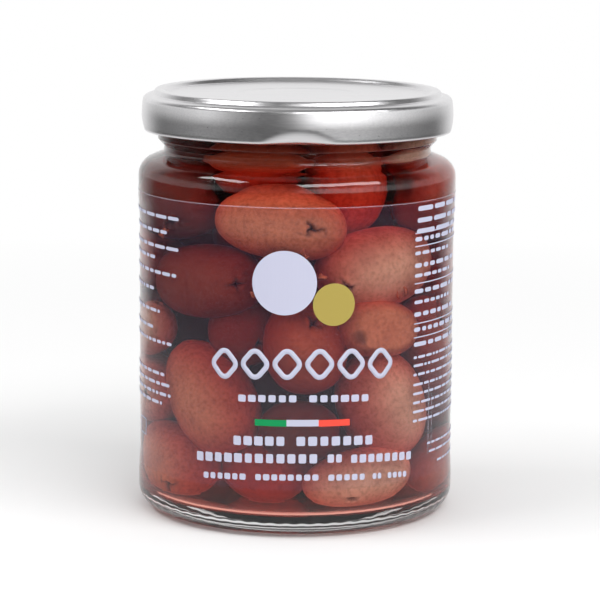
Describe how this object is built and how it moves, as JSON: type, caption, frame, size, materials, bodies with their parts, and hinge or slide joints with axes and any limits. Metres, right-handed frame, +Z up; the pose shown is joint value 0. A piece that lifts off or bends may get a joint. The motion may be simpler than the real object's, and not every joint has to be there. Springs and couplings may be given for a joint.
{
  "type": "jar of olives in brine",
  "caption": "Round clear glass jar filled with dark red olives in brine, closed by a silver twist-off lid and wrapped in a clear film label with plain printed shapes.",
  "frame": {"origin": "centre of the jar's foot, on the surface it stands on", "axes": "+Z up along the jar's axis, -Y towards the printed front of the label, +X to the right of that front"},
  "size_m": [0.0742, 0.0742, 0.0984],
  "materials": {
    "clear_glass": "moulded flint glass, smooth and glossy",
    "lacquered_tinplate": "clear lacquered tinplate, satin",
    "clear_film": "clear polypropylene film with printed shapes",
    "brine": "clear dark red brine full of olives"
  },
  "bodies": {
    "root": {"glass_jar": "clear_glass", "lid": "lacquered_tinplate", "label": "clear_film", "brine_with_olives": "brine"}
  },
  "joints": []
}
